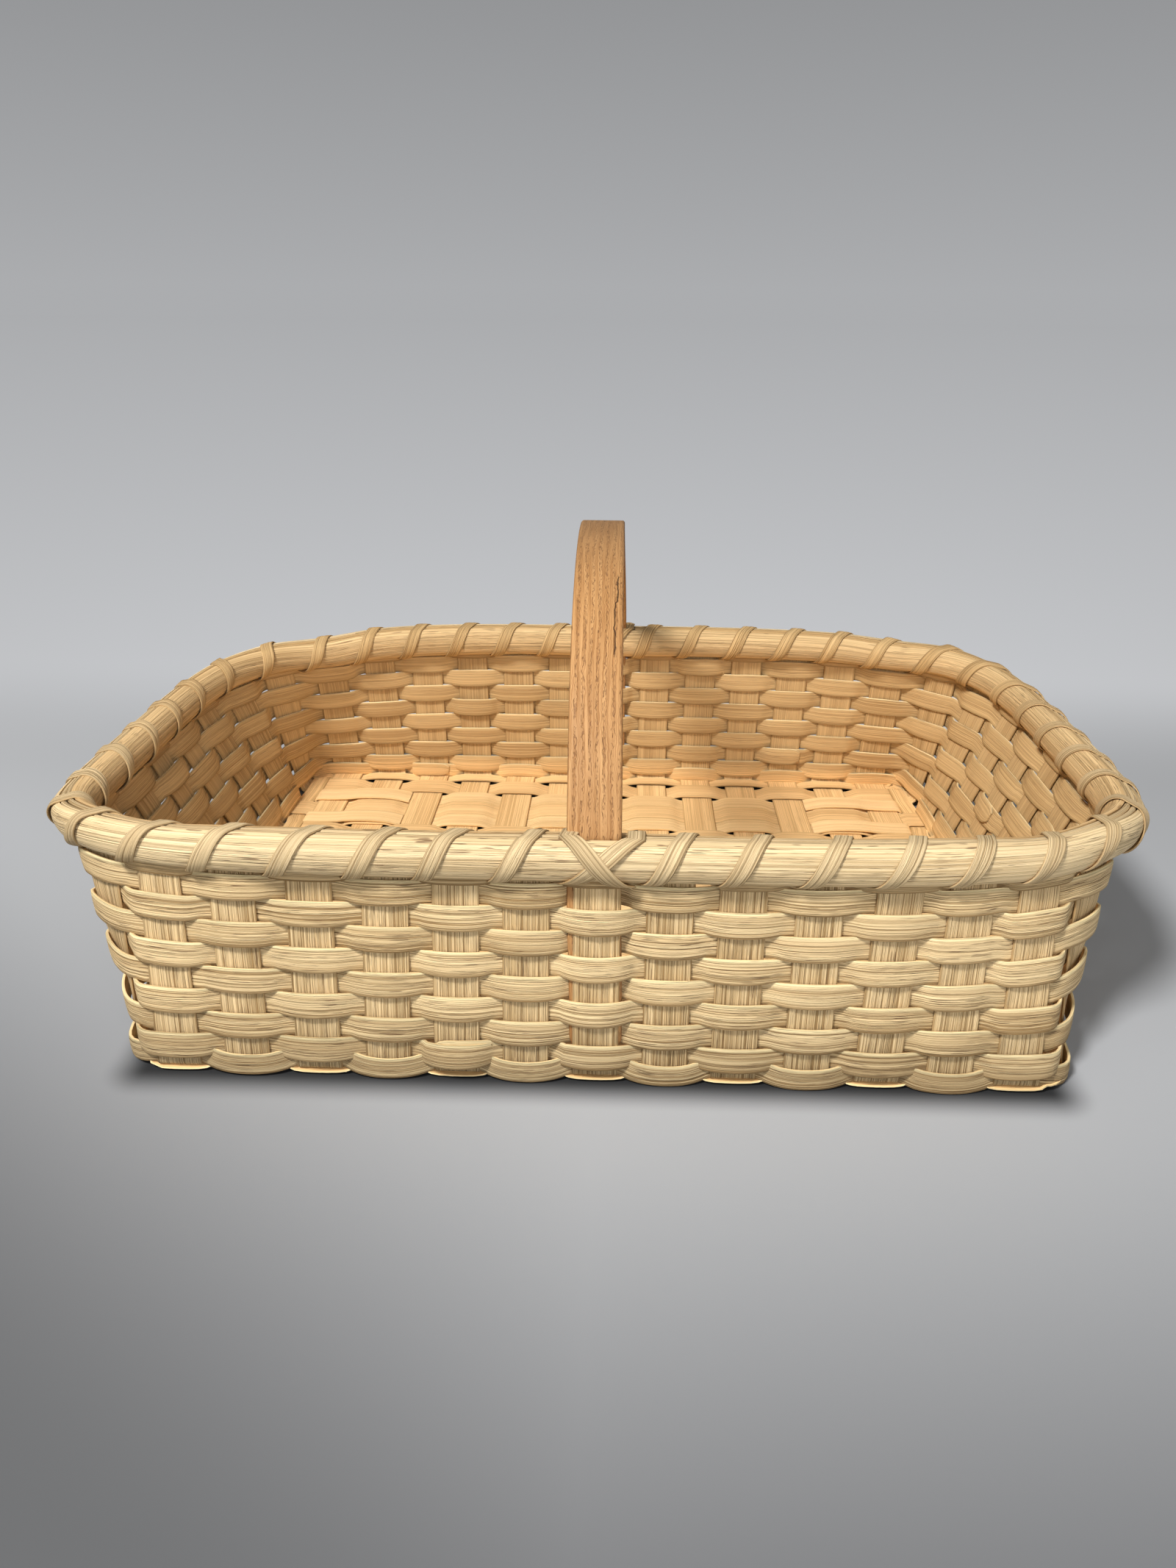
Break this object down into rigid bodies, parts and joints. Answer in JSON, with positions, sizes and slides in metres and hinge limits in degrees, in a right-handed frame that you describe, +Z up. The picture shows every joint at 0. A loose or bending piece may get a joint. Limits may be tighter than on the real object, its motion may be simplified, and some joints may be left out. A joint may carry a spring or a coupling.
{
  "type": "gathering basket",
  "caption": "Rectangular gathering basket woven from flat reed, with flared walls, a lashed rim and a fixed bent-wood handle across its width.",
  "frame": {"origin": "middle of the base, on the surface the basket stands on", "axes": "+Z up, +X along the basket's length, +Y across it, in the plane of the handle"},
  "size_m": [0.4946, 0.3368, 0.2012],
  "materials": {
    "stake_reed": "matte",
    "weaver_reed": "matte",
    "filler_reed": "satin",
    "rim_reed": "matte",
    "lashing_reed": "matte",
    "oak": "satin"
  },
  "bodies": {
    "root": {"cross_stake_01": "stake_reed", "cross_stake_02": "stake_reed", "cross_stake_03": "stake_reed", "cross_stake_04": "stake_reed", "cross_stake_05": "stake_reed", "cross_stake_06": "stake_reed", "cross_stake_07": "stake_reed", "cross_stake_08": "stake_reed", "cross_stake_09": "stake_reed", "cross_stake_10": "stake_reed", "cross_stake_11": "stake_reed", "cross_stake_12": "stake_reed", "cross_stake_13": "stake_reed", "long_stake_1": "stake_reed", "long_stake_2": "stake_reed", "long_stake_3": "stake_reed", "long_stake_4": "stake_reed", "long_stake_5": "stake_reed", "long_stake_6": "stake_reed", "long_stake_7": "stake_reed", "long_stake_8": "stake_reed", "long_stake_9": "stake_reed", "base_filler_1": "filler_reed", "base_filler_2": "filler_reed", "base_filler_3": "filler_reed", "base_filler_4": "filler_reed", "base_filler_5": "filler_reed", "base_filler_6": "filler_reed", "base_filler_7": "filler_reed", "base_filler_8": "filler_reed", "weaver_row_00": "weaver_reed", "weaver_row_01": "weaver_reed", "weaver_row_02": "weaver_reed", "weaver_row_03": "weaver_reed", "weaver_row_04": "weaver_reed", "weaver_row_05": "weaver_reed", "weaver_row_06": "weaver_reed", "weaver_row_07": "weaver_reed", "weaver_row_08": "weaver_reed", "weaver_row_09": "weaver_reed", "weaver_row_10": "weaver_reed", "outer_rim": "rim_reed", "inner_rim": "rim_reed", "rim_strand_right_outer": "lashing_reed", "rim_strand_right_inner": "lashing_reed", "rim_strand_left_outer": "lashing_reed", "rim_strand_left_inner": "lashing_reed", "rim_lashing": "lashing_reed", "handle_lash_front": "lashing_reed", "handle_lash_back": "lashing_reed", "handle": "oak"}
  },
  "joints": []
}
